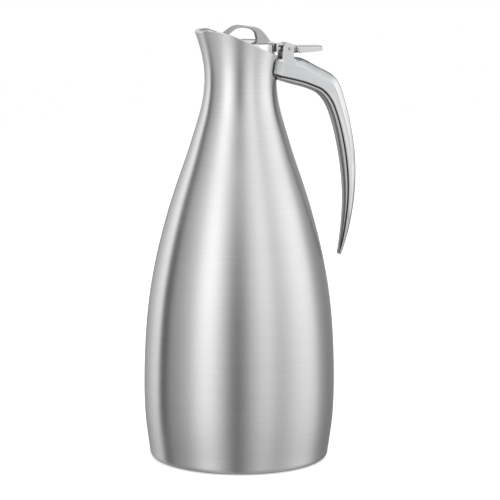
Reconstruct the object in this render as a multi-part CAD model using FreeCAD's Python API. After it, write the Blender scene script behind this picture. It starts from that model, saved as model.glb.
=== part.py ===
import FreeCAD, Part
import math
import os

from FreeCAD import Vector

# A double-walled steel carafe with a sprung, thumb-operated lid and a claw-shaped handle.
# Millimetres, +Z up, spout towards -X, handle towards +X, origin on the vessel axis at the table.

# Vessel wall, outline
belly_radius = 69.2
belly_height = 56.0
base_inset = 3.5
neck_radius = 25.8
neck_height = 280.5
flare_spread = 7.4
flare_rise = 32.0
seam_share = 0.758
outer_wall = 0.8
liner_wall = 0.6
belly_gap = 5.5
neck_gap = 1.6

# Outline shares: height and radius between base and belly, belly and neck, neck and spout
lower_shares = [(0.0, 0.0), (0.39, 0.70)]
shoulder_shares = [
    (0.0, 1.0),
    (0.134, 0.98),
    (0.266, 0.922),
    (0.398, 0.81),
    (0.53, 0.646),
    (0.66, 0.44),
    (0.758, 0.268),
    (0.823, 0.165),
    (0.888, 0.066),
    (0.936, 0.018),
]
flare_shares = [(0.0, 0.0), (0.34, 0.165), (0.67, 0.51), (1.0, 1.0), (1.3, 1.55)]

# Rim line, seen from the side, as shares of the flare, and the rolled lip that joins both walls
rim_low_share = 0.43125
rim_peak_share = 1.01875
lip_height = 1.6
rim_shares = [
    (1.15, -0.331),
    (0.8, 0.012),
    (0.487, 0.286),
    (0.2, 0.497),
    (-0.107, 0.723),
    (-0.475, 0.947),
    (-0.6, 0.995),
    (-0.75, 1.0),
    (-0.89, 0.995),
    (-0.99, 0.92),
    (-1.15, 0.676),
]

# Base: pressed cup welded to the wall, with a recessed rubber pad
foot_height = 0.6
base_corner = 8.0
base_recess = 1.4
pad_inset = 1.9
pad_clearance = 0.2
port_radius = 1.5
seal_disc_radius = 4.0
seal_disc_thickness = 0.8
fit_clearance = 0.05

# Liner floor and getter
liner_floor = 12.0
liner_corner = 12.0
getter_radius = 5.0
getter_thickness = 2.0
getter_offset = 18.0

# Handle: outline in side view as shares of its reach and its drop
handle_root_gap = 0.2
handle_span = 60.0
handle_top_gap = 1.1
handle_drop = 145.8
handle_width = 16.0
handle_wall = 1.8
handle_shoulder_drop = 5.0
handle_shoulder_inset_share = 0.43
cover_reveal = 0.4
cover_seat_gap = 0.3
cover_rib = 2.5
rib_clearance = 0.25
gasket_thickness = 1.3
gasket_reveal = 0.4
gasket_width_share = 1.9

# Handle stations from root to tip: outer x and z, inner x and z, width, and depth of the inner cover
handle_station_shares = [
    (-0.11, 0.0, -0.11, 0.094, 2.1, 0.25),
    (0.0, 0.0, -0.02, 0.107, 1.5, 0.25),
    (0.09, 0.0, 0.045, 0.117, 1.05, 0.25),
    (0.25, 0.0, 0.167, 0.132, 1.0, 0.25),
    (0.408, 0.025, 0.333, 0.150, 1.0, 0.25),
    (0.547, 0.056, 0.45, 0.168, 0.99, 0.26),
    (0.685, 0.087, 0.522, 0.186, 0.98, 0.27),
    (0.763, 0.122, 0.578, 0.211, 0.96, 0.28),
    (0.822, 0.178, 0.637, 0.252, 0.93, 0.30),
    (0.887, 0.268, 0.70, 0.324, 0.89, 0.33),
    (0.967, 0.419, 0.77, 0.444, 0.83, 0.36),
    (1.0, 0.598, 0.83, 0.605, 0.76, 0.38),
    (0.967, 0.773, 0.842, 0.763, 0.68, 0.39),
    (0.883, 0.932, 0.81, 0.922, 0.56, 0.38),
    (0.828, 1.0, 0.788, 0.992, 0.42, 0.38),
]
hollow_station_count = 12
rib_skip_count = 5
rib_station_count = 6
loft_degree = 3

# Hinge ears, pin, washers
pin_offset = 8.9
pin_rise = 6.4
pin_radius = 1.5
pin_end = 0.4
ear_radius = 3.9
ear_thickness = 1.5
ear_inset = 0.1
ear_depth = 6.0
ear_fillet = 2.6
ear_foot_spread = 1.2
washer_thickness = 0.3
washer_radius = 3.3
running_clearance = 0.06
side_clearance = 0.1

# Bracket welded to the neck, and the screws that hold the handle on it
bracket_room = 1.2
bracket_height = 9.0
bracket_drop = 11.7
tongue_thickness = 3.5
tongue_length = 13.0
boss_thickness = 4.4
handle_screw_radius = 1.75
handle_screw_head = 2.7
handle_screw_head_height = 2.6
handle_screw_grip = 2.6
handle_screw_places_shares = [0.28, 0.76]

# Lid: dome cap, skirt, plug, foam, seal
lid_inset = 1.3
lid_height = 11.1
lid_dome_radius = 60.0
lid_edge_radius = 1.5
lid_wall = 0.8
skirt_rise = 2.1
slot_margin = 2.0
slot_rise = 1.2
slot_height = 4.0
slot_clearance = 0.3
plug_depth = 15.4
plug_clearance = 1.8
plug_wall = 2.0
plug_flange = 1.4
plug_ring_drop = 0.8
plug_chamfer = 1.2
seal_rise = 6.8
seal_height = 3.0
seal_groove = 0.8
seal_bite = 0.6
foam_clearance = 0.2
foam_room = 4.0

# Grip loop over the lid, as shares of the lid's radius and of the loop's rise over the crown
grip_rise = 9.2
grip_width = 9.0
grip_outer_shares = [
    (-0.8, -0.45),
    (-0.6, 0.2),
    (-0.4, 0.62),
    (-0.18, 0.95),
    (0.02, 0.955),
    (0.3, 0.845),
    (0.49, 0.75),
    (0.62, 0.52),
    (0.76, 0.12),
    (0.915, -0.5),
]
grip_inner_shares = [
    (-0.56, -0.3),
    (-0.44, 0.1),
    (-0.3, 0.42),
    (-0.15, 0.7),
    (0.0, 0.78),
    (0.2, 0.715),
    (0.33, 0.59),
    (0.405, 0.42),
    (0.44, 0.18),
    (0.465, -0.3),
]
grip_screw_radius = 1.2
grip_screw_head = 2.2
grip_screw_head_height = 1.4
grip_screw_length = 4.0
grip_screw_places_shares = [-0.665, 0.65]

# Thumb lever: arm to the lid, knuckles on the pin, tongue over the handle
arm_rise = 2.2
arm_thickness = 1.4
tab_thickness = 1.8
tab_overlap = 0.6
knuckle_radius = 3.6
spring_side_play = 0.525
spring_slot_play = 1.1
tongue_rise = 1.5
tongue_plate = 1.4
tongue_gap = 4.3
thumb_length = 20.1
skirt_thickness = 1.4
heel_length = 1.8
heel_gap = 2.8
tip_gap = 4.8
lever_screw_radius = 1.5
lever_screw_head = 2.1
lever_screw_head_height = 1.5
lever_screw_length = 7.0
lever_screw_margin = 2.5

# Torsion spring on the pin
spring_wire = 0.8
spring_mean_radius = 2.9
spring_pitch = 1.3
spring_quarter_turns = 15
spring_arm = 6.2
spring_bend = 1.2
spring_rest_gap = 0.3

# One overrun for every cut
overrun = 5.0

# Worked-out sizes that several pieces share
axis_point = Vector(0, 0, 0)
axis_up = Vector(0, 0, 1)
along_y = Vector(0, 1, 0)
along_x = Vector(1, 0, 0)
base_radius = belly_radius - base_inset
base_join = foot_height + base_corner
pad_radius = base_radius - base_corner - pad_inset
spout_radius = neck_radius + flare_spread
spout_height = neck_height + flare_rise
seam_height = belly_height + seam_share * (neck_height - belly_height)
rim_low = neck_height + rim_low_share * flare_rise
rim_peak = neck_height + rim_peak_share * flare_rise
handle_root = neck_radius + handle_root_gap
handle_reach = handle_root + handle_span
handle_top = rim_low - handle_top_gap
handle_half = handle_width / 2
pin_x = neck_radius + pin_offset
pin_z = handle_top + pin_rise
ear_outer = handle_half - ear_inset
ear_inner = ear_outer - ear_thickness
knuckle_outer = ear_inner - washer_thickness - side_clearance
bracket_width = handle_width - 2 * handle_wall - 2 * bracket_room
bracket_low = handle_top - bracket_drop
tongue_top_of_bracket = handle_top - boss_thickness
tongue_low_of_bracket = tongue_top_of_bracket - tongue_thickness
lid_radius = neck_radius - lid_inset
skirt_low = rim_low + skirt_rise
lid_crown = skirt_low + lid_height
slot_width = 2 * (knuckle_outer + slot_margin)
slot_low = skirt_low + slot_rise
slot_high = slot_low + slot_height
plug_bottom = skirt_low - plug_depth
plug_radius = neck_radius - outer_wall - neck_gap - liner_wall - plug_clearance
plug_ring_high = slot_high - plug_ring_drop
seal_low = plug_bottom + seal_rise
seal_reach = plug_clearance + seal_bite
foam_top = plug_ring_high - foam_room
tab_x = lid_radius + slot_clearance
tab_low = slot_low - tab_overlap
arm_low = pin_z + arm_rise
arm_half_width = knuckle_outer
tongue_top = pin_z + tongue_rise
tongue_start = pin_x + tongue_gap
tongue_end = tongue_start + thumb_length
tongue_half_width = handle_half
skirt_heel_x = tongue_start + heel_length
skirt_heel_low = handle_top + heel_gap
skirt_tip_low = handle_top + tip_gap
lever_screw_spread = 2 * (arm_half_width - lever_screw_margin)
spring_gap = spring_pitch * spring_quarter_turns / 4 + spring_wire + spring_side_play
spring_slot = spring_mean_radius + spring_wire / 2 + spring_slot_play
pad_thickness = foot_height + base_recess


def ring_of_points(points):
    """Face inside a closed outline of straight runs."""
    return Part.Face(Part.makePolygon(points + [points[0]]))


def spline(points):
    """Smooth edge through the points."""
    curve = Part.BSplineCurve()
    curve.interpolate(points)
    return curve.toShape()


def line(start, end):
    return Part.LineSegment(start, end).toShape()


def arc(start, middle, end):
    return Part.Arc(start, middle, end).toShape()


def side_point(x, z, y=0.0):
    return Vector(x, y, z)


def turned(edges):
    """Solid of revolution about the vessel axis from edges that close one half-section."""
    face = Part.Face(Part.Wire(Part.__sortEdges__(edges)))
    return face.revolve(axis_point, axis_up, 360)


def prism(face, half_width):
    """Face in the XZ plane thickened evenly to both sides."""
    placed = face.copy()
    placed.translate(along_y * -half_width)
    return placed.extrude(along_y * (2 * half_width))


def block(x_low, x_high, half_width, z_low, z_high):
    corner = Vector(x_low, -half_width, z_low)
    return Part.makeBox(x_high - x_low, 2 * half_width, z_high - z_low, corner)


def rod_y(x, z, radius, y_low, y_high):
    return Part.makeCylinder(radius, y_high - y_low, Vector(x, y_low, z), along_y)


def wall_points(belly_inset, neck_inset):
    """Outline of a vessel wall, drawn in by an inset that fades from the belly to the neck."""
    points = []
    for height_share, radius_share in lower_shares:
        z = base_join + height_share * (belly_height - base_join)
        r = base_radius + radius_share * (belly_radius - base_radius)
        points.append(side_point(r - belly_inset, z))
    for height_share, radius_share in shoulder_shares:
        z = belly_height + height_share * (neck_height - belly_height)
        r = neck_radius + radius_share * (belly_radius - neck_radius)
        inset = neck_inset + radius_share * (belly_inset - neck_inset)
        points.append(side_point(r - inset, z))
    for height_share, radius_share in flare_shares:
        z = neck_height + height_share * (spout_height - neck_height)
        r = neck_radius + radius_share * (spout_radius - neck_radius)
        points.append(side_point(r - neck_inset, z))
    return points


def filled_vessel(belly_inset, neck_inset):
    """The vessel's outline as a full solid, up past the rim."""
    points = wall_points(belly_inset, neck_inset)
    foot = side_point(0, points[0].z)
    head = side_point(0, points[-1].z)
    edges = [line(foot, points[0]), spline(points), line(points[-1], head), line(head, foot)]
    return turned(edges)


def above_rim(drop):
    """Everything over the rim line, which is lowered by a drop."""
    points = []
    for x_share, z_share in rim_shares:
        z = rim_low + z_share * (rim_peak - rim_low) - drop
        points.append(side_point(x_share * spout_radius, z))
    top = rim_peak + spout_radius
    right_top = side_point(points[0].x, top)
    left_top = side_point(points[-1].x, top)
    edges = [
        spline(points),
        line(points[-1], left_top),
        line(left_top, right_top),
        line(right_top, points[0]),
    ]
    return prism(Part.Face(Part.Wire(edges)), spout_radius + overrun)


def below(z):
    """A slab from a level down past the table."""
    return Part.makeCylinder(belly_radius + overrun, z + overrun, Vector(0, 0, -overrun))


def rounded_floor(solid, floor, corner):
    """The solid cut flat at a floor, with its lowest edge rounded."""
    trimmed = solid.cut(below(floor))
    low_edges = [edge for edge in trimmed.Edges if edge.BoundBox.ZMax < floor + fit_clearance]
    return trimmed.makeFillet(corner, low_edges)


def outer_wall_tube():
    return filled_vessel(0, 0).cut(filled_vessel(outer_wall, outer_wall))


def make_outer_shell():
    """Body of the outer wall, up to the weld seam on the shoulder, which is ground flush."""
    return outer_wall_tube().common(below(seam_height))


def make_outer_neck():
    """Neck and flare of the outer wall, from the weld seam up to the rolled lip."""
    return outer_wall_tube().cut(below(seam_height)).cut(above_rim(lip_height))


def make_inner_liner():
    outer_inset = outer_wall + belly_gap
    outer_neck_inset = outer_wall + neck_gap
    flask = rounded_floor(filled_vessel(outer_inset, outer_neck_inset), liner_floor, liner_corner)
    hollow = filled_vessel(outer_inset + liner_wall, outer_neck_inset + liner_wall)
    hollow = rounded_floor(hollow, liner_floor + liner_wall, liner_corner - liner_wall)
    lip = filled_vessel(0, 0).common(above_rim(lip_height))
    return flask.fuse(lip).cut(hollow).cut(above_rim(0))


def make_base_cup():
    """Pressed bottom: rounded corner, standing ring and a raised panel over the pad."""
    inner_radius = base_radius - outer_wall
    corner_x = base_radius - base_corner
    corner_z = base_join
    diagonal = math.sqrt(2) / 2
    panel_low = pad_thickness
    panel_high = panel_low + outer_wall
    step_x = pad_radius + pad_clearance
    inner_corner = base_corner - outer_wall
    outer_middle = side_point(corner_x + base_corner * diagonal, corner_z - base_corner * diagonal)
    inner_middle = side_point(corner_x + inner_corner * diagonal, corner_z - inner_corner * diagonal)
    ring_inside = foot_height + outer_wall
    edges = [
        line(side_point(port_radius, panel_low), side_point(step_x, panel_low)),
        line(side_point(step_x, panel_low), side_point(step_x, foot_height)),
        line(side_point(step_x, foot_height), side_point(corner_x, foot_height)),
        arc(side_point(corner_x, foot_height), outer_middle, side_point(base_radius, corner_z)),
        line(side_point(base_radius, corner_z), side_point(inner_radius, corner_z)),
        arc(side_point(inner_radius, corner_z), inner_middle, side_point(corner_x, ring_inside)),
        line(side_point(corner_x, ring_inside), side_point(step_x + outer_wall, ring_inside)),
        line(side_point(step_x + outer_wall, ring_inside), side_point(step_x + outer_wall, panel_high)),
        line(side_point(step_x + outer_wall, panel_high), side_point(port_radius, panel_high)),
        line(side_point(port_radius, panel_high), side_point(port_radius, panel_low)),
    ]
    return turned(edges)


def make_vacuum_seal():
    """Disc that closes the pumping hole of the base, with its stub in the hole."""
    stub_radius = port_radius - fit_clearance
    panel_high = pad_thickness + outer_wall
    disc = Part.makeCylinder(seal_disc_radius, seal_disc_thickness, Vector(0, 0, panel_high))
    return disc.fuse(Part.makeCylinder(stub_radius, outer_wall, Vector(0, 0, pad_thickness)))


def make_getter():
    """Gas-trapping pellet on the underside of the liner."""
    seat = Vector(getter_offset, 0, liner_floor - getter_thickness)
    return Part.makeCylinder(getter_radius, getter_thickness, seat)


def make_foot_pad():
    return Part.makeCylinder(pad_radius, pad_thickness)


def handle_place(x_share, z_share):
    x = handle_root + x_share * (handle_reach - handle_root)
    return side_point(x, handle_top - z_share * handle_drop)


class Station:
    """One cross-section of the handle: a frame from its inner edge outwards, with its sizes."""

    def __init__(self, shares):
        outer_x, outer_z, inner_x, inner_z, width_share, cover_share = shares
        self.inner = handle_place(inner_x, inner_z)
        outward = handle_place(outer_x, outer_z) - self.inner
        self.depth = outward.Length
        self.outward = outward / self.depth
        self.half = handle_half * width_share
        self.split = self.depth * cover_share

    def at(self, out, side):
        return self.inner + self.outward * out + along_y * side


def handle_stations():
    return [Station(shares) for shares in handle_station_shares]


def shell_section(station, low, high, half, drop, inset):
    """Flat on the split, upright sides to a crease, then a shoulder that leans in to a narrow top."""
    corners = [
        station.at(low, -half),
        station.at(high - drop, -half),
        station.at(high, -half + inset),
        station.at(high, half - inset),
        station.at(high - drop, half),
        station.at(low, half),
    ]
    return Part.makePolygon(corners + [corners[0]])


def shoulder_drop(station):
    """Height of the leaning shoulder, limited by the section that carries it."""
    return min(handle_shoulder_drop, (station.depth - station.split) / 2)


def outer_section(station):
    drop = shoulder_drop(station)
    inset = station.half * handle_shoulder_inset_share
    return shell_section(station, station.split, station.depth, station.half, drop, inset)


def hollow_section(station):
    drop = shoulder_drop(station)
    inset = station.half * handle_shoulder_inset_share
    low = station.split - handle_wall
    high = station.depth - handle_wall
    return shell_section(station, low, high, station.half - handle_wall, drop, inset)


def cover_section(station):
    """Half-round strip on the inner side of the handle."""
    half = station.half - cover_reveal
    shoulder = station.split / 2
    seat = station.split - cover_seat_gap
    low_left = station.at(seat, -half)
    low_right = station.at(seat, half)
    edges = [
        line(low_left, station.at(shoulder, -half)),
        arc(station.at(shoulder, -half), station.at(0, 0), station.at(shoulder, half)),
        line(station.at(shoulder, half), low_right),
        line(low_right, low_left),
    ]
    return Part.Wire(edges)


def rib_section(station):
    half = station.half - handle_wall - rib_clearance
    low = station.split / 2
    high = station.split + cover_rib
    corners = [station.at(low, -half), station.at(high, -half), station.at(high, half), station.at(low, half)]
    return Part.makePolygon(corners + [corners[0]])


def loft(sections):
    return Part.makeLoft(sections, True, False, False, loft_degree)


def neck_with_gasket():
    return filled_vessel(-gasket_thickness, -gasket_thickness)


def make_ear(side):
    """Hinge ear that rises from the handle's side wall and rounds over the pin."""
    left = pin_x - ear_radius
    right = pin_x + ear_radius
    low = handle_top - ear_depth
    fillet_low = handle_top - handle_shoulder_drop
    fillet_top = fillet_low + ear_fillet
    fillet_mid = side_point(
        right + ear_fillet * (1 - math.sqrt(2) / 2), fillet_low + ear_fillet * (1 - math.sqrt(2) / 2)
    )
    fillet_end = side_point(right + ear_fillet, fillet_low)
    edges = [
        arc(side_point(left, pin_z), side_point(pin_x, pin_z + ear_radius), side_point(right, pin_z)),
        line(side_point(right, pin_z), side_point(right, fillet_top)),
        arc(side_point(right, fillet_top), fillet_mid, fillet_end),
        line(fillet_end, side_point(right + ear_fillet, low)),
        line(side_point(right + ear_fillet, low), side_point(left - ear_foot_spread, low)),
        line(side_point(left - ear_foot_spread, low), side_point(left, pin_z)),
    ]
    plate = Part.Face(Part.Wire(edges)).extrude(along_y * ear_thickness)
    plate.translate(along_y * (ear_inner if side > 0 else -ear_outer))
    return plate


def handle_screw_places():
    start = handle_root + gasket_thickness
    return [start + share * tongue_length for share in handle_screw_places_shares]


def make_handle_shell():
    stations = handle_stations()
    outside = loft([outer_section(station) for station in stations])
    hollow = loft([hollow_section(s) for s in stations[:hollow_station_count]])
    boss_end = handle_root + gasket_thickness + tongue_length
    boss_half = handle_half - handle_wall / 2
    boss_high = handle_top - handle_wall / 2
    boss = block(handle_root - overrun, boss_end, boss_half, tongue_top_of_bracket, boss_high)
    seat_low = tongue_low_of_bracket - fit_clearance
    seat_half = bracket_width / 2 + fit_clearance
    seat = block(handle_root - overrun, boss_end + fit_clearance, seat_half, seat_low, tongue_top_of_bracket)
    shell = outside.cut(hollow).fuse([boss.common(outside), make_ear(1), make_ear(-1)])
    shell = shell.cut(neck_with_gasket()).cut(seat)
    pin_hole = rod_y(pin_x, pin_z, pin_radius + fit_clearance, -handle_width, handle_width)
    shell = shell.cut(pin_hole)
    for x in handle_screw_places():
        depth = handle_screw_grip + fit_clearance
        mouth = Vector(x, 0, tongue_top_of_bracket)
        shell = shell.cut(Part.makeCylinder(handle_screw_radius + fit_clearance, depth, mouth))
    return shell.removeSplitter()


def make_handle_cover():
    stations = handle_stations()
    strip = loft([cover_section(station) for station in stations])
    rib = loft([rib_section(s) for s in stations[rib_skip_count:rib_skip_count + rib_station_count]])
    return strip.fuse(rib).cut(neck_with_gasket())


def make_handle_gasket():
    """Soft frame between the handle's root and the neck."""
    first = handle_stations()[0]
    low = -gasket_reveal - handle_wall
    high = first.depth + gasket_reveal
    half = handle_half * gasket_width_share
    inset = half * handle_shoulder_inset_share
    low_corner = low + first.split / 2
    high_corner = high - handle_shoulder_drop
    corners = [
        first.at(low_corner, -half),
        first.at(high_corner, -half),
        first.at(high, -half + inset),
        first.at(high, half - inset),
        first.at(high_corner, half),
        first.at(low_corner, half),
    ]
    edges = [line(start, end) for start, end in zip(corners, corners[1:])]
    edges.append(arc(corners[-1], first.at(low, 0), corners[0]))
    frame = Part.Face(Part.Wire(edges)).extrude(along_x * handle_span)
    frame = frame.common(neck_with_gasket()).cut(filled_vessel(0, 0))
    window_half = bracket_width / 2 + fit_clearance
    window_high = bracket_low + bracket_height + fit_clearance
    window = block(0, handle_reach, window_half, bracket_low - fit_clearance, window_high)
    return frame.cut(window)


def make_neck_bracket():
    """Flange welded to the neck, with a tongue that carries the handle."""
    half = bracket_width / 2
    flange = block(0, handle_reach, half, bracket_low, bracket_low + bracket_height)
    flange = flange.common(neck_with_gasket())
    tongue_end_x = handle_root + gasket_thickness + tongue_length
    tongue = block(0, tongue_end_x, half, tongue_low_of_bracket, tongue_top_of_bracket)
    bracket = flange.fuse(tongue).cut(filled_vessel(0, 0))
    for x in handle_screw_places():
        hole_low = Vector(x, 0, tongue_low_of_bracket - overrun)
        hole_length = tongue_thickness + 2 * overrun
        bracket = bracket.cut(Part.makeCylinder(handle_screw_radius + fit_clearance, hole_length, hole_low))
    return bracket


def make_handle_screws():
    screws = []
    for x in handle_screw_places():
        shank = Part.makeCylinder(
            handle_screw_radius, tongue_thickness + handle_screw_grip, Vector(x, 0, tongue_low_of_bracket)
        )
        head_low = Vector(x, 0, tongue_low_of_bracket - handle_screw_head_height)
        head = Part.makeCylinder(handle_screw_head, handle_screw_head_height, head_low)
        screws.append(shank.fuse(head))
    return Part.makeCompound(screws)


def make_hinge_pin():
    reach = ear_outer + pin_end
    return rod_y(pin_x, pin_z, pin_radius, -reach, reach)


def make_hinge_washers():
    washers = []
    for low in (ear_inner - washer_thickness, -ear_inner):
        disc = rod_y(pin_x, pin_z, washer_radius, low, low + washer_thickness)
        bore = rod_y(pin_x, pin_z, pin_radius + fit_clearance, low - overrun, low + overrun)
        washers.append(disc.cut(bore))
    return Part.makeCompound(washers)


def dome_height(radius, crown, sphere):
    return crown - sphere + math.sqrt(sphere * sphere - radius * radius)


def dome_solid(crown, sphere, radius, edge_radius, low):
    """Cap outline as a full solid: dome, rounded shoulder and straight skirt."""
    shoulder_x = radius - edge_radius
    shoulder_z = dome_height(shoulder_x, crown, sphere)
    bend = edge_radius * math.sqrt(2) / 2
    shoulder_mid = side_point(shoulder_x + bend, shoulder_z - edge_radius + bend)
    half_way = shoulder_x / 2
    edges = [
        arc(side_point(0, crown), side_point(half_way, dome_height(half_way, crown, sphere)),
            side_point(shoulder_x, shoulder_z)),
        arc(side_point(shoulder_x, shoulder_z), shoulder_mid, side_point(radius, shoulder_z - edge_radius)),
        line(side_point(radius, shoulder_z - edge_radius), side_point(radius, low)),
        line(side_point(radius, low), side_point(0, low)),
        line(side_point(0, low), side_point(0, crown)),
    ]
    return turned(edges)


def lid_solid():
    return dome_solid(lid_crown, lid_dome_radius, lid_radius, lid_edge_radius, skirt_low)


def lid_hollow():
    edge = lid_edge_radius / 2
    return dome_solid(lid_crown - lid_wall, lid_dome_radius, lid_radius - lid_wall, edge, skirt_low)


def grip_screw_places():
    return [share * lid_radius for share in grip_screw_places_shares]


def make_lid_cap():
    """Pressed dome with a straight skirt, open at the hinge for the plug's lug."""
    cap = lid_solid().cut(lid_hollow())
    slot = block(0, lid_radius + overrun, slot_width / 2, slot_low, slot_high)
    cap = cap.cut(slot)
    for x in grip_screw_places():
        low = Vector(x, 0, skirt_low)
        cap = cap.cut(Part.makeCylinder(grip_screw_radius + fit_clearance, lid_crown - skirt_low, low))
    return cap


def grip_outline(shares):
    return [side_point(x_share * lid_radius, lid_crown + z_share * grip_rise) for x_share, z_share in shares]


def make_lid_grip():
    """Arched loop standing on the dome, thin over the top and broad at its hinge-side foot."""
    outer = grip_outline(grip_outer_shares)
    inner = grip_outline(grip_inner_shares)
    edges = [spline(outer), line(outer[-1], inner[-1]), spline(inner), line(inner[0], outer[0])]
    face = Part.Face(Part.Wire(Part.__sortEdges__(edges)))
    grip = prism(face, grip_width / 2).cut(lid_solid())
    for x in grip_screw_places():
        hole_low = Vector(x, 0, skirt_low)
        hole_height = dome_height(abs(x), lid_crown, lid_dome_radius) + grip_screw_length - skirt_low
        grip = grip.cut(Part.makeCylinder(grip_screw_radius + fit_clearance, hole_height, hole_low))
    return grip


def make_grip_screws():
    """Screws that come up through the dome into both feet of the loop."""
    screws = []
    for x in grip_screw_places():
        top = dome_height(abs(x), lid_crown, lid_dome_radius) + grip_screw_length - fit_clearance
        seat = dome_height(abs(x) + grip_screw_head, lid_crown - lid_wall, lid_dome_radius)
        shank = Part.makeCylinder(grip_screw_radius, top - seat, Vector(x, 0, seat))
        head_low = Vector(x, 0, seat - grip_screw_head_height)
        screws.append(shank.fuse(Part.makeCylinder(grip_screw_head, grip_screw_head_height, head_low)))
    return Part.makeCompound(screws)


def lever_screw_sides():
    return [-lever_screw_spread / 2, lever_screw_spread / 2]


def lever_screw_height():
    return (slot_low + slot_high) / 2


def make_lid_plug():
    """Moulded cup under the cap: seal groove, flange under the skirt, ring inside it, lug at the hinge."""
    ring = lid_radius - lid_wall - foam_clearance
    flange_low = skirt_low - plug_flange
    groove = plug_radius - seal_groove
    inside = plug_radius - seal_groove - plug_wall
    outline = [
        side_point(0, plug_bottom),
        side_point(plug_radius - plug_chamfer, plug_bottom),
        side_point(plug_radius, plug_bottom + plug_chamfer),
        side_point(plug_radius, seal_low),
        side_point(groove, seal_low),
        side_point(groove, seal_low + seal_height),
        side_point(plug_radius, seal_low + seal_height),
        side_point(plug_radius, flange_low),
        side_point(lid_radius, flange_low),
        side_point(lid_radius, skirt_low),
        side_point(ring, skirt_low),
        side_point(ring, plug_ring_high),
        side_point(ring - plug_wall, plug_ring_high),
        side_point(ring - plug_wall, skirt_low),
        side_point(inside, skirt_low),
        side_point(inside, plug_bottom + plug_wall),
        side_point(0, plug_bottom + plug_wall),
    ]
    cup = ring_of_points(outline).revolve(axis_point, axis_up, 360)
    lug_half = slot_width / 2 - slot_clearance
    lug = block(inside, tab_x, lug_half, slot_low + slot_clearance, slot_high - slot_clearance)
    plug = cup.fuse(lug)
    for y in lever_screw_sides():
        hole = Part.makeCylinder(
            lever_screw_radius + fit_clearance,
            lever_screw_length + fit_clearance,
            Vector(tab_x, y, lever_screw_height()),
            along_x * -1,
        )
        plug = plug.cut(hole)
    return plug


def make_lid_foam():
    radius = plug_radius - seal_groove - plug_wall - foam_clearance
    low = plug_bottom + plug_wall
    return Part.makeCylinder(radius, foam_top - low, Vector(0, 0, low))


def make_lid_seal():
    """Soft ring in the plug's groove, with a blunt lip that reaches towards the neck."""
    groove = plug_radius - seal_groove
    low = seal_low
    high = seal_low + seal_height
    reach = plug_radius + seal_reach
    outline = [
        side_point(groove, low),
        side_point(plug_radius, low),
        side_point(reach, low + seal_height / 2),
        side_point(reach, low + seal_height * 3 / 4),
        side_point(plug_radius, high),
        side_point(groove, high),
    ]
    return ring_of_points(outline).revolve(axis_point, axis_up, 360)


def make_skirt():
    """Side view of the tongue's skirts, cut back at the heel so that it passes the ears."""
    return ring_of_points([
        side_point(tongue_start, tongue_top),
        side_point(tongue_end, tongue_top),
        side_point(tongue_end, skirt_tip_low),
        side_point(skirt_heel_x, skirt_heel_low),
        side_point(tongue_start, tongue_top - tongue_plate),
    ])


def make_thumb_lever():
    arm_high = arm_low + arm_thickness
    plate_low = tongue_top - tongue_plate
    arm = block(tab_x, pin_x, arm_half_width, arm_low, arm_high)
    tab = block(tab_x, tab_x + tab_thickness, arm_half_width, tab_low, arm_high)
    barrel = rod_y(pin_x, pin_z, knuckle_radius, -knuckle_outer, knuckle_outer)
    neck_plate = block(pin_x, skirt_heel_x, arm_half_width, plate_low, tongue_top)
    tongue = prism(make_skirt(), tongue_half_width)
    under = block(
        tongue_start - overrun, tongue_end - skirt_thickness, tongue_half_width - skirt_thickness,
        skirt_heel_low - overrun, plate_low,
    )
    lever = arm.fuse([tab, barrel, neck_plate, tongue.cut(under)])
    slot_z = overrun + knuckle_radius
    slot = block(pin_x - spring_slot, pin_x + spring_slot, spring_gap / 2, pin_z - slot_z, pin_z + slot_z)
    lever = lever.cut(slot)
    lever = lever.cut(rod_y(pin_x, pin_z, pin_radius + running_clearance, -handle_width, handle_width))
    for y in lever_screw_sides():
        start = Vector(tab_x, y, lever_screw_height())
        hole = Part.makeCylinder(lever_screw_radius + fit_clearance, tab_thickness, start, along_x)
        lever = lever.cut(hole)
    return lever.removeSplitter()


def make_lever_screws():
    screws = []
    for y in lever_screw_sides():
        seat = Vector(tab_x + tab_thickness, y, lever_screw_height())
        shank = Part.makeCylinder(lever_screw_radius, tab_thickness + lever_screw_length, seat, along_x * -1)
        head = Part.makeCylinder(lever_screw_head, lever_screw_head_height, seat, along_x)
        screws.append(shank.fuse(head))
    return Part.makeCompound(screws)


def biarc(start, start_way, end, end_way):
    """Two arcs that leave one point and reach another along given directions."""
    gap = end - start
    ways = start_way + end_way
    a = ways.dot(ways) - 4
    b = -2 * gap.dot(ways)
    c = gap.dot(gap)
    reach = (-b - math.sqrt(b * b - 4 * a * c)) / (2 * a)
    first_corner = start + start_way * reach
    second_corner = end - end_way * reach
    joint = (first_corner + second_corner) / 2
    return [tangent_arc(start, first_corner, joint), tangent_arc(joint, second_corner, end)]


def tangent_arc(start, corner, end):
    """Arc between two points whose end tangents meet at a corner."""
    middle = (start + end) / 2
    height = (middle - corner).Length
    tangent = (start - corner).Length
    half_chord = (start - middle).Length
    radius = half_chord * tangent / height
    to_centre = math.sqrt(radius * radius + tangent * tangent)
    top = corner + (middle - corner) * ((to_centre - radius) / height)
    return arc(start, top, end)


def spring_point(quarter):
    angle = quarter * math.pi / 2
    y = spring_pitch * (spring_quarter_turns / 2 - quarter) / 4
    x = pin_x + spring_mean_radius * math.cos(angle)
    return Vector(x, y, pin_z + spring_mean_radius * math.sin(angle))


def spring_way(quarter):
    angle = quarter * math.pi / 2
    turn = 2 * math.pi * spring_mean_radius
    way = Vector(-turn * math.sin(angle), -spring_pitch, turn * math.cos(angle))
    return way / way.Length


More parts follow.
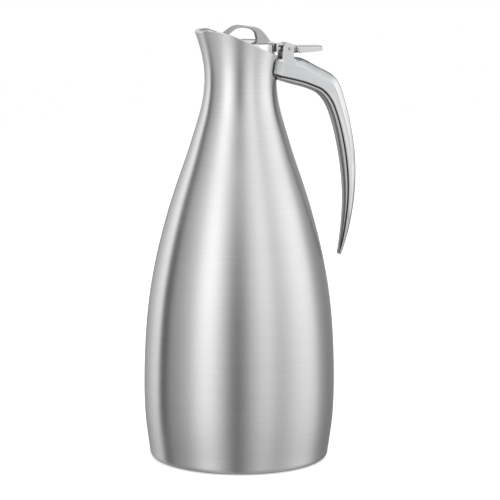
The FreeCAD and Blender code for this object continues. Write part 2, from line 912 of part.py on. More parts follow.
def make_lid_spring():
    """Torsion spring round the pin: one leg stands on the handle, the other lifts the tongue."""
    last = spring_quarter_turns
    first_way = spring_way(0)
    drop = (pin_z - handle_top - spring_rest_gap) / first_way.z
    edges = [line(spring_point(0) - first_way * drop, spring_point(0))]
    for quarter in range(last):
        edges += biarc(
            spring_point(quarter), spring_way(quarter), spring_point(quarter + 1), spring_way(quarter + 1)
        )
    arm_start = spring_point(last)
    arm_way = spring_way(last)
    arm_end = arm_start + arm_way * spring_arm
    bend_end = arm_end + arm_way * spring_bend + axis_up * spring_bend
    tip = Vector(bend_end.x, bend_end.y, tongue_top - tongue_plate - spring_rest_gap)
    edges.append(line(arm_start, arm_end))
    edges.append(tangent_arc(arm_end, arm_end + arm_way * spring_bend, bend_end))
    edges.append(line(bend_end, tip))
    path = Part.Wire(edges)
    start = edges[0].Vertexes[0].Point
    section = Part.Wire(Part.Circle(start, first_way, spring_wire / 2).toShape())
    sweep = Part.BRepOffsetAPI.MakePipeShell(path)
    sweep.add(section)
    sweep.build()
    sweep.makeSolid()
    print_spring_gap(path)
    return sweep.shape()


def print_spring_gap(path):
    """Least gap between turns, measured on points more than half a turn apart along the wire."""
    spacing = spring_wire / 4
    points = path.discretize(Distance=spacing)
    apart = int(math.pi * spring_mean_radius / spacing)
    count = len(points)
    pairs = [(i, j) for i in range(count) for j in range(i + apart, count)]
    least = min(points[i].distanceToPoint(points[j]) for i, j in pairs)
    print("spring: length", round(path.Length, 2), "least gap", round(least - spring_wire, 2))


makers = {
    "outer_shell": make_outer_shell,
    "outer_neck": make_outer_neck,
    "inner_liner": make_inner_liner,
    "base_cup": make_base_cup,
    "vacuum_seal": make_vacuum_seal,
    "getter": make_getter,
    "foot_pad": make_foot_pad,
    "neck_bracket": make_neck_bracket,
    "handle_gasket": make_handle_gasket,
    "handle_shell": make_handle_shell,
    "handle_cover": make_handle_cover,
    "handle_screws": make_handle_screws,
    "hinge_pin": make_hinge_pin,
    "hinge_washers": make_hinge_washers,
    "lid_spring": make_lid_spring,
    "lid_cap": make_lid_cap,
    "lid_grip": make_lid_grip,
    "grip_screws": make_grip_screws,
    "lid_plug": make_lid_plug,
    "lid_foam": make_lid_foam,
    "lid_seal": make_lid_seal,
    "thumb_lever": make_thumb_lever,
    "lever_screws": make_lever_screws,
}

os.makedirs("parts", exist_ok=True)
for node, make in makers.items():
    shape = make()
    shape.exportStep("parts/" + node + ".step")
    print(node, "solids", len(shape.Solids), "valid", shape.isValid(), "volume", round(shape.Volume, 1))
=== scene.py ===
import math

import bmesh
import bpy
import numpy as np
from mathutils import Matrix, Vector


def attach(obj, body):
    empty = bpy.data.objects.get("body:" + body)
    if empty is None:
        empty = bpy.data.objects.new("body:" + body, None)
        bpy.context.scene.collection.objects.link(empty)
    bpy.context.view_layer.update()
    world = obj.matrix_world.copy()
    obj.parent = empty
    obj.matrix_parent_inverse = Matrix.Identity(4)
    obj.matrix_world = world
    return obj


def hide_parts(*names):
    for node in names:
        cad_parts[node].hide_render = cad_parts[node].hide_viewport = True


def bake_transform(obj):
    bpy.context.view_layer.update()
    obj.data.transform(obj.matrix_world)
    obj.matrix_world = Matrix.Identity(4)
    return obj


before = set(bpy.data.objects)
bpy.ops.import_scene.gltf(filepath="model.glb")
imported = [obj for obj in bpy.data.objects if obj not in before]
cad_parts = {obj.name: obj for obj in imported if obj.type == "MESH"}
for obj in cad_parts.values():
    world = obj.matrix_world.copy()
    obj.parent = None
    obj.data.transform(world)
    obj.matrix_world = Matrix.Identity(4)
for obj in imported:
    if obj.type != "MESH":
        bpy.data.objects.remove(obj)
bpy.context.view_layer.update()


# Outer wall of the vessel: a deep-drawn stainless steel tube with a narrow neck and a flared spout.
# The pressed base cup is welded to it and the weld ground away. Both are brushed round on a lathe.
# The wall's line gives radius and height, the rim's line x and height, all in millimetres.
mm = 0.001
wall_line = [
    (66.0, 8.6), (68.5, 27.1), (69.7, 56.0), (68.88, 86.1), (66.38, 115.7), (61.5, 145.4),
    (54.34, 175.0), (45.3, 204.2), (37.73, 226.2), (33.2, 240.8), (28.86, 255.4), (26.78, 266.1),
    (26.0, 280.5), (27.22, 291.38), (29.77, 301.94), (33.4, 312.5), (37.47, 322.1),
]
rim_line = [
    (38.18, 287.4), (26.56, 293.9), (16.17, 298.5), (6.64, 302.35), (-3.55, 306.9), (-15.77, 311.7),
    (-19.92, 312.9), (-24.9, 313.1), (-29.55, 313.0), (-32.87, 311.6), (-38.18, 307.0),
]
base_line = [(56.0, 2.0), (56.0, 0.3), (61.0, 0.3)]
base_corner_x = 61.0
base_corner_z = 4.8
base_corner_radius = 4.5
corner_steps = 8
wall_thickness = 0.8
wall_steps = 192
wall_row_gap = 8
wall_first_row = 4
wall_end = 318.0
rim_start = 284.0
rim_tries = 30
lip_height = 0.5
weld_gap = 0.0005
pole_radius = 0.01
wrap_metres = 0.05


def smooth_line(points, count):
    """Points spread evenly along the smooth curve that runs through a few given ones."""
    given = np.array(points, float)
    along = np.concatenate([[0], np.cumsum(np.linalg.norm(np.diff(given, axis=0), axis=1))])
    steps = np.diff(along)
    system = np.eye(len(given))
    pull = np.zeros_like(given)
    for i in range(1, len(given) - 1):
        system[i, i - 1:i + 2] = steps[i - 1], 2 * (steps[i - 1] + steps[i]), steps[i]
        slope_before = (given[i] - given[i - 1]) / steps[i - 1]
        slope_after = (given[i + 1] - given[i]) / steps[i]
        pull[i] = 6 * (slope_after - slope_before)
    bend = np.linalg.solve(system, pull)
    spread = []
    for place in np.linspace(0, along[-1], count):
        i = min(int(np.searchsorted(along, place, side="right")) - 1, len(steps) - 1)
        before = along[i + 1] - place
        after = place - along[i]
        step = steps[i]
        curve = (bend[i] * before ** 3 + bend[i + 1] * after ** 3) / (6 * step)
        from_start = (given[i] / step - bend[i] * step / 6) * before
        from_end = (given[i + 1] / step - bend[i + 1] * step / 6) * after
        spread.append(tuple(curve + (from_start + from_end)))
    return spread


def arc(x, z, radius, start, turn, steps):
    """Points on an arc about a middle, from a start angle through a turn, both in degrees."""
    angles = [math.radians(start + step * turn / steps) for step in range(steps + 1)]
    return [(x + radius * math.cos(angle), z + radius * math.sin(angle)) for angle in angles]


wall_curve = np.array(smooth_line(wall_line, count=600))
rim_curve = np.array(smooth_line(rim_line, count=400))[::-1]


def wall_radius(z):
    """Radius of the vessel's outside at a height, in millimetres."""
    return float(np.interp(z, wall_curve[:, 1], wall_curve[:, 0]))


def rim_height(angle, inset):
    """Height of the rim at an angle round the axis, a little inside the outer wall."""
    z = rim_start
    for _ in range(rim_tries):
        x = (wall_radius(z) - inset) * math.cos(angle)
        z = (z + float(np.interp(x, rim_curve[:, 0], rim_curve[:, 1]))) / 2
    return z


def turned(half_section, steps):
    """A half-section of radius and height, in millimetres, spun once round the upright axis."""
    bm = bmesh.new()
    chain = [bm.verts.new((r * mm, 0, z * mm)) for r, z in half_section]
    edges = [bm.edges.new(pair) for pair in zip(chain, chain[1:])]
    bmesh.ops.spin(bm, geom=chain + edges, cent=(0, 0, 0), axis=(0, 0, 1), angle=2 * math.pi,
                   steps=steps, use_merge=True)
    bmesh.ops.remove_doubles(bm, verts=bm.verts, dist=weld_gap * mm)
    bmesh.ops.recalc_face_normals(bm, faces=bm.faces)
    return bm


def wrap(bm):
    """UV map in metres, height along u and the way round along v, for finishes that go round."""
    layer = bm.loops.layers.uv.new("round")
    for face in bm.faces:
        middle = face.calc_center_median()
        turn = math.atan2(middle.y, middle.x)
        for loop in face.loops:
            point = loop.vert.co
            angle = math.atan2(point.y, point.x) if point.xy.length > pole_radius * mm else turn
            angle += 2 * math.pi * round((turn - angle) / (2 * math.pi))
            loop[layer].uv = (point.z, angle * wrap_metres)


def linear(hex_colour):
    """sRGB hex value as the linear colour that the shaders take."""
    parts = [int(hex_colour[i:i + 2], 16) / 255 for i in (0, 2, 4)]
    return [p / 12.92 if p <= 0.04045 else ((p + 0.055) / 1.055) ** 2.4 for p in parts] + [1.0]


def add_node(tree, kind, links=(), **settings):
    """One node with its settings, and links from (node, output) into inputs by name or number.

    A setting that starts with in_ is an input's value. A Mix node of colours takes its share at
    input 0 and its colours at 6 and 7, and gives its colour at output 2.
    """
    node = tree.nodes.new(kind)
    for key, value in settings.items():
        if key.startswith("in_"):
            name = key[3:].replace("_", " ")
            node.inputs[int(name) if name.isdigit() else name].default_value = value
        else:
            setattr(node, key, value)
    for socket, (source, output) in links:
        tree.links.new(source.outputs[output], node.inputs[socket])
    return node


def new_material(name):
    """Empty material with its shader wired to the output: returns material, tree and shader."""
    material = bpy.data.materials.new(name)
    material.use_nodes = True
    tree = material.node_tree
    return material, tree, tree.nodes["Principled BSDF"]


def piece(name, bm, material, body, slot, *nodes, crease=35):
    """Object at the origin from a bmesh, smooth but for creases and open edges, on a body."""
    mesh = bpy.data.meshes.new(name)
    bm.edges.index_update()
    open_edges = [edge.index for edge in bm.edges if edge.is_boundary]
    bm.to_mesh(mesh)
    bm.free()
    mesh.polygons.foreach_set("use_smooth", [True] * len(mesh.polygons))
    mesh.set_sharp_from_angle(angle=math.radians(crease))
    for index in open_edges:
        mesh.edges[index].use_edge_sharp = True
    mesh.materials.append(material)
    obj = bpy.data.objects.new(name, mesh)
    bpy.context.collection.objects.link(obj)
    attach(obj, body)
    if nodes:
        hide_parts(*nodes)
    return obj


def thicken(obj, thickness):
    """Gives a skin the thickness of its sheet in millimetres, inwards from its faces."""
    sheet = obj.modifiers.new("sheet", "SOLIDIFY")
    sheet.thickness = thickness * mm
    sheet.offset = -1


# Brushed stainless steel: the belt's fine lines run round and draw the lights into tall soft bands.
# They are finer than a pixel in truth, and are drawn about a millimetre apart so that they show.
brushed_steel, tree, shader = new_material("brushed_stainless_steel")
line_pitch = 1.1
line_length = 45.0
coords = add_node(tree, "ShaderNodeTexCoord")
stretch = add_node(tree, "ShaderNodeMapping", [("Vector", (coords, "Object"))],
                   in_Scale=(1 / (line_length * mm), 1 / (line_length * mm), 1 / (line_pitch * mm)))
lines = add_node(tree, "ShaderNodeTexNoise", [("Vector", (stretch, "Vector"))],
                 in_Scale=1.0, in_Detail=3.0, in_Roughness=0.6)
tone = add_node(tree, "ShaderNodeMix", [(0, (lines, "Fac"))],
                data_type="RGBA", in_6=linear("CBCBCB"), in_7=linear("DADAD9"))
polish = add_node(tree, "ShaderNodeMapRange", [("Value", (lines, "Fac"))],
                  in_To_Min=0.29, in_To_Max=0.35)
ridges = add_node(tree, "ShaderNodeBump", [("Height", (lines, "Fac"))],
                  in_Strength=0.06, in_Distance=0.03 * mm)
way = add_node(tree, "ShaderNodeTangent", direction_type="UV_MAP", uv_map="round")
tree.links.new(tone.outputs[2], shader.inputs["Base Color"])
tree.links.new(polish.outputs[0], shader.inputs["Roughness"])
tree.links.new(ridges.outputs[0], shader.inputs["Normal"])
tree.links.new(way.outputs[0], shader.inputs["Tangent"])
shader.inputs["Metallic"].default_value = 1.0
shader.inputs["Anisotropic"].default_value = 0.9

corner_line = arc(base_corner_x, base_corner_z, base_corner_radius, start=-90, turn=90,
                  steps=corner_steps)[1:]
side_line = [tuple(p) for p in wall_curve[wall_first_row::wall_row_gap] if p[1] < wall_end]
bm = turned(base_line + corner_line + side_line, wall_steps)
wall_top = side_line[-1][1]
for vert in bm.verts:
    z = vert.co.z / mm
    if z > rim_start:
        angle = math.atan2(vert.co.y, vert.co.x)
        top = rim_height(angle, 0) - lip_height
        z = rim_start + (z - rim_start) / (wall_top - rim_start) * (top - rim_start)
        radius = wall_radius(z) * mm
        vert.co = (radius * math.cos(angle), radius * math.sin(angle), z * mm)
if max(bm.faces, key=lambda face: face.calc_center_median().x).normal.x < 0:
    bmesh.ops.reverse_faces(bm, faces=bm.faces)
wrap(bm)
vessel_wall = piece("vessel_wall", bm, brushed_steel, "carafe", "brushed_steel",
                    "outer_shell", "outer_neck", "base_cup", crease=60)
thicken(vessel_wall, wall_thickness)


# Inner flask: a thinner stainless tube inside the wall, with a vacuum between the two.
# Its edge is rolled out over the wall and welded, and that lip is polished bright.
# The lip's rows give the inset from the wall's outside and the drop below the rim.
neck_radius = 25.8
neck_level = 280.5
belly_radius = 69.2
liner_inset_neck = 3.0
liner_inset_belly = 6.9
liner_sheet = 0.6
liner_floor = 12.6
liner_corner = 11.4
liner_rows = 60
lip_rows = [
    (0.0, 0.5), (0.06, 0.28), (0.22, 0.1), (0.5, 0.0), (2.3, 0.0), (2.66, 0.12), (2.9, 0.42),
    (3.0, 0.8), (3.0, 2.4),
]
lip_mark_radius = 60.0
lip_mark_step = 0.5
lip_mark_level = 320.0


def liner_radius(z):
    """Radius of the flask's inside at a height: the gap to the wall is widest at the belly."""
    share = max(0.0, (wall_radius(z) - neck_radius) / (belly_radius - neck_radius))
    if z > neck_level:
        share = 0.0
    return wall_radius(z) - liner_inset_neck - share * (liner_inset_belly - liner_inset_neck)


# Polished stainless steel: buffed to a near mirror, with hairline swirls left from the wheel.
polished_steel, tree, shader = new_material("polished_stainless_steel")
swirl_size = 6.0
coords = add_node(tree, "ShaderNodeTexCoord")
swirls = add_node(tree, "ShaderNodeTexNoise", [("Vector", (coords, "Object"))],
                  in_Scale=1 / (swirl_size * mm), in_Detail=4.0, in_Distortion=1.5)
polish = add_node(tree, "ShaderNodeMapRange", [("Value", (swirls, "Fac"))],
                  in_To_Min=0.1, in_To_Max=0.18)
tone = add_node(tree, "ShaderNodeMix", [(0, (swirls, "Fac"))],
                data_type="RGBA", in_6=linear("DEDEDD"), in_7=linear("E8E8E7"))
tree.links.new(tone.outputs[2], shader.inputs["Base Color"])
tree.links.new(polish.outputs[0], shader.inputs["Roughness"])
shader.inputs["Metallic"].default_value = 1.0

# The lip is spun as rows of marks above the neck, which then move to their places on the rim.
corner_top = liner_floor + liner_corner
corner_middle = liner_radius(corner_top) - liner_corner
inside_line = [(liner_radius(z), z) for z in np.linspace(rim_start, corner_top, liner_rows)]
inside_line += arc(corner_middle, corner_top, liner_corner, start=0, turn=-90,
                   steps=corner_steps)[1:]
inside_line.append((0.0, liner_floor))
lip_marks = []
for row in range(len(lip_rows)):
    lip_marks.append((lip_mark_radius - row * lip_mark_step, lip_mark_level + row))
bm = turned(lip_marks + inside_line, wall_steps)
for vert in bm.verts:
    row = round(vert.co.z / mm - lip_mark_level)
    if row >= 0:
        inset, drop = lip_rows[row]
        angle = math.atan2(vert.co.y, vert.co.x)
        z = rim_height(angle, inset) - drop
        radius = (wall_radius(z) - inset) * mm
        vert.co = (radius * math.cos(angle), radius * math.sin(angle), z * mm)
if min(bm.faces, key=lambda face: face.calc_center_median().z).normal.z < 0:
    bmesh.ops.reverse_faces(bm, faces=bm.faces)
inner_flask = piece("inner_flask", bm, polished_steel, "carafe", "polished_steel", "inner_liner",
                    crease=50)
thicken(inner_flask, liner_sheet)


# Vacuum parts, shut in between the two walls: a plug of braze, melted into the pumping hole in the
# base, and a pellet of gas-binding alloy, welded to the underside of the flask.


def dress(material, *nodes):
    """Gives the frame's own nodes a finish."""
    for node in nodes:
        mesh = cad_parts[node].data
        mesh.materials.clear()
        mesh.materials.append(material)


# Sintered getter alloy: pressed metal powder, dull grey and grainy.
getter_alloy, tree, shader = new_material("sintered_getter_alloy")
powder = 0.5
coords = add_node(tree, "ShaderNodeTexCoord")
grains = add_node(tree, "ShaderNodeTexNoise", [("Vector", (coords, "Object"))],
                  in_Scale=1 / (powder * mm))
tone = add_node(tree, "ShaderNodeMix", [(0, (grains, "Fac"))],
                data_type="RGBA", in_6=linear("78787C"), in_7=linear("98989B"))
bumps = add_node(tree, "ShaderNodeBump", [("Height", (grains, "Fac"))],
                 in_Strength=0.4, in_Distance=0.1 * mm)
tree.links.new(tone.outputs[2], shader.inputs["Base Color"])
tree.links.new(bumps.outputs[0], shader.inputs["Normal"])
shader.inputs["Metallic"].default_value = 1.0
shader.inputs["Roughness"].default_value = 0.6
dress(getter_alloy, "getter")
dress(polished_steel, "vacuum_seal")


# Foot pad: a moulded disc of black rubber, glued into the recess of the base so that the carafe
# stands quietly. Shallow round grooves let the air out when it is set down on a wet table.
pad_radius = 55.8
pad_thickness = 2.0
pad_steps = 128
groove_depth = 0.4
groove_half = 0.6
groove_mouth_half = 0.9
groove_radii = (20.0, 34.0, 48.0)
pad_edge = [(0.5, 0.0), (0.1, 0.2), (0.0, 0.5)]

# Natural rubber, filled black: matt, with a fine moulded stipple and a bloom of grey dust.
# The same black also colours the band on the handle strip, where it is painted shade.
black_rubber, tree, shader = new_material("black_rubber")
stipple = 0.8
bloom = 25.0
coords = add_node(tree, "ShaderNodeTexCoord")
dots = add_node(tree, "ShaderNodeTexNoise", [("Vector", (coords, "Object"))],
                in_Scale=1 / (stipple * mm))
dust = add_node(tree, "ShaderNodeTexNoise", [("Vector", (coords, "Object"))],
                in_Scale=1 / (bloom * mm))
tone = add_node(tree, "ShaderNodeMix", [(0, (dust, "Fac"))],
                data_type="RGBA", in_6=linear("121212"), in_7=linear("232322"))
bumps = add_node(tree, "ShaderNodeBump", [("Height", (dots, "Fac"))],
                 in_Strength=0.2, in_Distance=0.05 * mm)
tree.links.new(tone.outputs[2], shader.inputs["Base Color"])
tree.links.new(bumps.outputs[0], shader.inputs["Normal"])
shader.inputs["Roughness"].default_value = 0.7

pad_line = [(0.0, 0.0)]
for radius in groove_radii:
    pad_line += [(radius - groove_mouth_half, 0.0), (radius - groove_half, groove_depth),
                 (radius + groove_half, groove_depth), (radius + groove_mouth_half, 0.0)]
pad_line += [(pad_radius - inset, z) for inset, z in pad_edge]
pad_line += [(pad_radius, pad_thickness), (0.0, pad_thickness)]
piece("base_pad", turned(pad_line, pad_steps), black_rubber, "carafe", "black_rubber", "foot_pad")


# Handle fixing: a bent steel bracket, spot-welded to the neck, and two steel screws that hold the
# handle on it. All of it is hidden in the handle's root.

# Zinc-plated steel: pale grey with a faint crystal mottle, neither matt nor bright.
plain_steel, tree, shader = new_material("zinc_plated_steel")
spangle = 2.5
coords = add_node(tree, "ShaderNodeTexCoord")
mottle = add_node(tree, "ShaderNodeTexVoronoi", [("Vector", (coords, "Object"))],
                  in_Scale=1 / (spangle * mm))
tone = add_node(tree, "ShaderNodeMix", [(0, (mottle, "Distance"))],
                data_type="RGBA", in_6=linear("A9ABAD"), in_7=linear("C1C2C3"))
polish = add_node(tree, "ShaderNodeMapRange", [("Value", (mottle, "Distance"))],
                  in_To_Min=0.22, in_To_Max=0.34)
tree.links.new(tone.outputs[2], shader.inputs["Base Color"])
tree.links.new(polish.outputs[0], shader.inputs["Roughness"])
shader.inputs["Metallic"].default_value = 1.0
dress(plain_steel, "neck_bracket", "handle_screws")


# Gasket at the handle's root: a moulded frame of black rubber that fits the curve of the neck.
# The handle's screws clamp it, and its edge shows as a thin black line round the root.
# Half of its outline gives y and height, its rings the share of the outline and the rise.
gasket_thickness = 0.8
gasket_middle = 285.6
gasket_half_line = [
    (0.0, 276.9), (4.4, 277.0), (8.3, 277.4), (11.3, 278.5), (12.8, 280.1), (13.4, 282.0),
    (13.5, 286.0), (13.5, 289.0), (13.3, 291.3), (12.4, 293.0), (10.7, 294.0), (7.0, 294.1),
    (0.0, 293.9),
]
gasket_rings = [
    (0.98, 0.0), (1.0, 0.2), (1.0, 0.6), (0.98, gasket_thickness), (0.7, gasket_thickness),
    (0.7, 0.0),
]


def on_neck(y, z, height):
    """Point on the handle's side of the neck, at a height above the wall in millimetres."""
    return Vector((math.sqrt((wall_radius(z) + height) ** 2 - y ** 2), y, z))


def lofted(rings, hollow=False):
    """Rings of points in millimetres, bridged in turn, with closed ends or hollow as a frame."""
    bm = bmesh.new()
    loops = []
    for ring in rings:
        verts = [bm.verts.new(point * mm) for point in ring]
        loops.append([bm.edges.new(pair) for pair in zip(verts, verts[1:] + verts[:1])])
    for first, second in zip(loops, loops[1:] + loops[:1] if hollow else loops[1:]):
        bmesh.ops.bridge_loops(bm, edges=first + second)
    if not hollow:
        for loop in (loops[0], loops[-1]):
            bmesh.ops.edgenet_fill(bm, edges=loop)
    bmesh.ops.recalc_face_normals(bm, faces=bm.faces)
    return bm


half_outline = smooth_line(gasket_half_line, count=48)
outline = half_outline + [(-y, z) for y, z in reversed(half_outline[1:-1])]
rings = []
for share, rise in gasket_rings:
    rings.append([on_neck(y * share, gasket_middle + (z - gasket_middle) * share, rise)
                  for y, z in outline])
piece("root_gasket", lofted(rings, hollow=True), black_rubber, "carafe", "black_rubber",
      "handle_gasket")


# Handle: one hollow zinc casting that hooks away from the neck and tapers to a free tip, chromium
# plated. Its two ears stand up at the root and carry the hinge pin. Screws from below hold it on a
# bracket on the neck. Its shares give the outer and the inner edge, the half width and the split.
handle_root = 26.0
handle_span = 60.0
handle_top = 293.2
handle_drop = 145.8
handle_half = 8.0
handle_weld_gap = 0.03
handle_shares = [
    (-0.11, 0.0, -0.11, 0.094, 1.0, 0.2), (0.0, 0.0, -0.02, 0.107, 1.0, 0.2),
    (0.075, 0.0, 0.033, 0.115, 1.0, 0.2), (0.1, 0.0, 0.053, 0.118, 1.0, 0.2),
    (0.16, 0.0, 0.1, 0.1235, 1.0, 0.2), (0.25, 0.0, 0.167, 0.132, 1.0, 0.2),
    (0.408, 0.025, 0.333, 0.150, 1.0, 0.21), (0.547, 0.056, 0.45, 0.168, 0.99, 0.22),
    (0.685, 0.087, 0.522, 0.186, 0.98, 0.24), (0.763, 0.122, 0.578, 0.211, 0.96, 0.26),
    (0.822, 0.178, 0.637, 0.252, 0.93, 0.30), (0.887, 0.268, 0.70, 0.324, 0.89, 0.33),
    (0.967, 0.419, 0.77, 0.444, 0.83, 0.36), (1.0, 0.598, 0.83, 0.605, 0.76, 0.38),
    (0.967, 0.773, 0.842, 0.763, 0.68, 0.39), (0.883, 0.932, 0.81, 0.922, 0.56, 0.38),
    (0.828, 1.0, 0.788, 0.992, 0.42, 0.38),
]
root_flare = 1.15
flare_start = -0.11
flare_end = 0.08
root_end = 0.2
shoulder_start = 0.27
shoulder_drop = 5.0
shoulder_lean = 0.43
corner_drop = 2.2
corner_lean = 1.0
seam_round = [(0.35, 0.35), (0.6, 0.1), (1.0, 0.0)]
crease_round = [(1.2, 0.0), (0.5, 0.05), (0.0, 0.2)]
crease_inset = 0.2
crease_rise = 0.5
crown_start = 1.0
crown_ease = 0.9
crown_share = 0.45
crown_round = [(0.5, 0.12), (0.2, 0.4), (0.05, 0.7), (0.0, 1.0)]
pin_x = 34.7
pin_z = 299.6
ear_x = 33.6
ear_radius = 4.2
ear_inner = 6.4
ear_outer = 8.07
ear_edge = 0.7
ear_right = [
    (37.75, 298.4), (37.6, 296.4), (37.8, 293.4), (38.5, 290.4), (40.0, 288.0), (42.6, 286.4),
    (46.0, 285.0),
]
ear_left = [(28.6, 285.5), (28.7, 289.0), (29.1, 295.0)]
level_gap = 0.001
handle_rows = smooth_line(handle_shares, count=130)


def handle_section(row, place_points):
    """Ring of points of one handle section, from (outwards, sideways) places in millimetres."""
    out_share, out_drop, in_share, in_drop, half_share, split_share = row
    inner = Vector((handle_root + in_share * handle_span, 0, handle_top - in_drop * handle_drop))
    outer = Vector((handle_root + out_share * handle_span, 0, handle_top - out_drop * handle_drop))
    depth = (outer - inner).length
    outward = (outer - inner) / depth
    flare = float(np.interp(out_share, [flare_start, flare_end], [root_flare, 0.0]))
    half = handle_half * (half_share + flare)
    places = place_points(depth * split_share, depth, half, out_share)
    return [inner + outward * out + Vector((0, side, 0)) for out, side in places]


def casting_places(split, depth, half, along):
    """One casting section: upright sides, a soft crease, a leaning shoulder and a rounded top."""
    at_root = float(np.interp(along, [root_end, shoulder_start], [1.0, 0.0]))
    drop = min(shoulder_drop, (depth - split) / 2) * (1 - at_root) + corner_drop * at_root
    lean = shoulder_lean * half * (1 - at_root) + corner_lean * at_root
    crown = crown_share * (half - lean)
    right = [(split + rise, half - inset) for rise, inset in seam_round]
    right += [(depth - drop - below, half - inset) for below, inset in crease_round]
    right.append((depth - drop + crease_rise,
                  half - crease_inset - crease_rise * (lean - crease_inset) / drop))
    right.append((depth - crown_start, half - lean * (1 - crown_ease / drop)))
    right += [(depth - below, half - lean - share * crown) for below, share in crown_round]
    return right + [(depth, 0)] + [(out, -side) for out, side in reversed(right)]


def at_neck(ring):
    """Ring whose points are brought forward to the gasket's face where they would lie inside it."""
    fitted = []
    for point in ring:
        face = math.sqrt((wall_radius(point.z) + gasket_thickness) ** 2 - point.y ** 2)
        fitted.append(Vector((max(point.x, face), point.y, point.z)))
    return fitted


def add_shape(bm, shape):
    """Moves a finished shape into another one."""
    block = bpy.data.meshes.new("shape")
    shape.to_mesh(block)
    shape.free()
    bm.from_mesh(block)
    bpy.data.meshes.remove(block)


def rounded(bm, edges, radius, segments, clamp=False):
    """Rounds some edges of a shape by a radius in millimetres."""
    bmesh.ops.bevel(bm, geom=edges, offset=radius * mm, offset_type="OFFSET", affect="EDGES",
                    segments=segments, profile=0.5, material=-1, clamp_overlap=clamp)


def plate(bm, outline, y_low, y_high, edge):
    """Flat plate with rounded edges, a side-view outline pushed from one y to another."""
    shape = bmesh.new()
    face = shape.faces.new([shape.verts.new((x * mm, y_low * mm, z * mm)) for x, z in outline])
    pushed = bmesh.ops.extrude_face_region(shape, geom=[face])
    moved = [item for item in pushed["geom"] if isinstance(item, bmesh.types.BMVert)]
    bmesh.ops.translate(shape, verts=moved, vec=(0, (y_high - y_low) * mm, 0))
    bmesh.ops.recalc_face_normals(shape, faces=shape.faces)
    rims = []
    for item in shape.edges:
        if abs(item.verts[0].co.y - item.verts[1].co.y) < level_gap * mm:
            rims.append(item)
    rounded(shape, rims, edge, segments=3, clamp=True)
    add_shape(bm, shape)


# Bright chromium plate: a mirror with a faint blue, softened only where hands have rubbed it.
chromium_plate, tree, shader = new_material("chromium_plate")
rub_size = 14.0
coords = add_node(tree, "ShaderNodeTexCoord")
rubs = add_node(tree, "ShaderNodeTexNoise", [("Vector", (coords, "Object"))],
                in_Scale=1 / (rub_size * mm), in_Detail=5.0, in_Distortion=0.6)
polish = add_node(tree, "ShaderNodeMapRange", [("Value", (rubs, "Fac"))],
                  in_To_Min=0.06, in_To_Max=0.16)
tone = add_node(tree, "ShaderNodeMix", [(0, (rubs, "Fac"))],
                data_type="RGBA", in_6=linear("C2C3C5"), in_7=linear("CACBCC"))
tree.links.new(tone.outputs[2], shader.inputs["Base Color"])
tree.links.new(polish.outputs[0], shader.inputs["Roughness"])
shader.inputs["Metallic"].default_value = 1.0

bm = lofted([at_neck(handle_section(row, casting_places)) for row in handle_rows])
bmesh.ops.remove_doubles(bm, verts=bm.verts, dist=handle_weld_gap * mm)
bmesh.ops.recalc_face_normals(bm, faces=bm.faces)
ear_line = arc(ear_x, pin_z, ear_radius, start=165, turn=-165, steps=12)
ear_line += smooth_line(ear_right, count=16) + ear_left
for side in (-1, 1):
    ear = bmesh.new()
    plate(ear, ear_line, ear_inner, ear_outer, ear_edge)
    if side < 0:
        bmesh.ops.scale(ear, verts=ear.verts, vec=(1, -1, 1))
        bmesh.ops.reverse_faces(ear, faces=ear.faces)
    add_shape(bm, ear)
handle_casting = piece("handle_casting", bm, chromium_plate, "carafe", "chrome", "handle_shell")
handle_casting.modifiers.new("flat_faces", "WEIGHTED_NORMAL").keep_sharp = True


# Strip on the inside of the handle: a half-round drawn stainless profile, clipped into the open
# side of the casting. A black band on its seat is painted shade: it draws the shadow in the gap
# between the two as a thin line all the way down.
strip_reveal = 0.7
strip_seat_gap = 0.8
strip_half_steps = 8
# The band on the seat is black, painted shade; these give its inset, its rise and its points.
shade_band_inset = 0.3
shade_band_rise = 0.33
shade_band_points = 4


def strip_places(split, depth, half, along):
    """One strip section: a half-round below, a flat seat, and a band on the seat for painted shade.
    """
    half -= strip_reveal
    shoulder = split / 2
    bow = (shoulder ** 2 + half ** 2) / (2 * shoulder)
    span = math.asin(min(1.0, half / bow))
    half_round = []
    for step in range(2 * strip_half_steps + 1):
        turn = span * (1 - step / strip_half_steps)
        half_round.append((bow - bow * math.cos(turn), bow * math.sin(turn)))
    seat = split - strip_seat_gap
    shade_band = half - shade_band_inset
    shade_band_top = split + shade_band_rise
    shade_band_line = [(seat, -shade_band), (shade_band_top, -shade_band), (shade_band_top, shade_band), (seat, shade_band)]
    return [(seat, half)] + half_round + [(seat, -half)] + shade_band_line


# Satin stainless steel: drawn, then blasted lightly, so it is greyer than the polished parts and
# spreads the light.
satin_steel, tree, shader = new_material("satin_stainless_steel")
grit = 0.9
coords = add_node(tree, "ShaderNodeTexCoord")
specks = add_node(tree, "ShaderNodeTexNoise", [("Vector", (coords, "Object"))],
                  in_Scale=1 / (grit * mm), in_Detail=3.0)
tone = add_node(tree, "ShaderNodeMix", [(0, (specks, "Fac"))],
                data_type="RGBA", in_6=linear("A8A8A8"), in_7=linear("B6B6B5"))
polish = add_node(tree, "ShaderNodeMapRange", [("Value", (specks, "Fac"))],
                  in_To_Min=0.22, in_To_Max=0.3)
pits = add_node(tree, "ShaderNodeBump", [("Height", (specks, "Fac"))],
                in_Strength=0.05, in_Distance=0.02 * mm)
tree.links.new(tone.outputs[2], shader.inputs["Base Color"])
tree.links.new(polish.outputs[0], shader.inputs["Roughness"])
tree.links.new(pits.outputs[0], shader.inputs["Normal"])
shader.inputs["Metallic"].default_value = 1.0

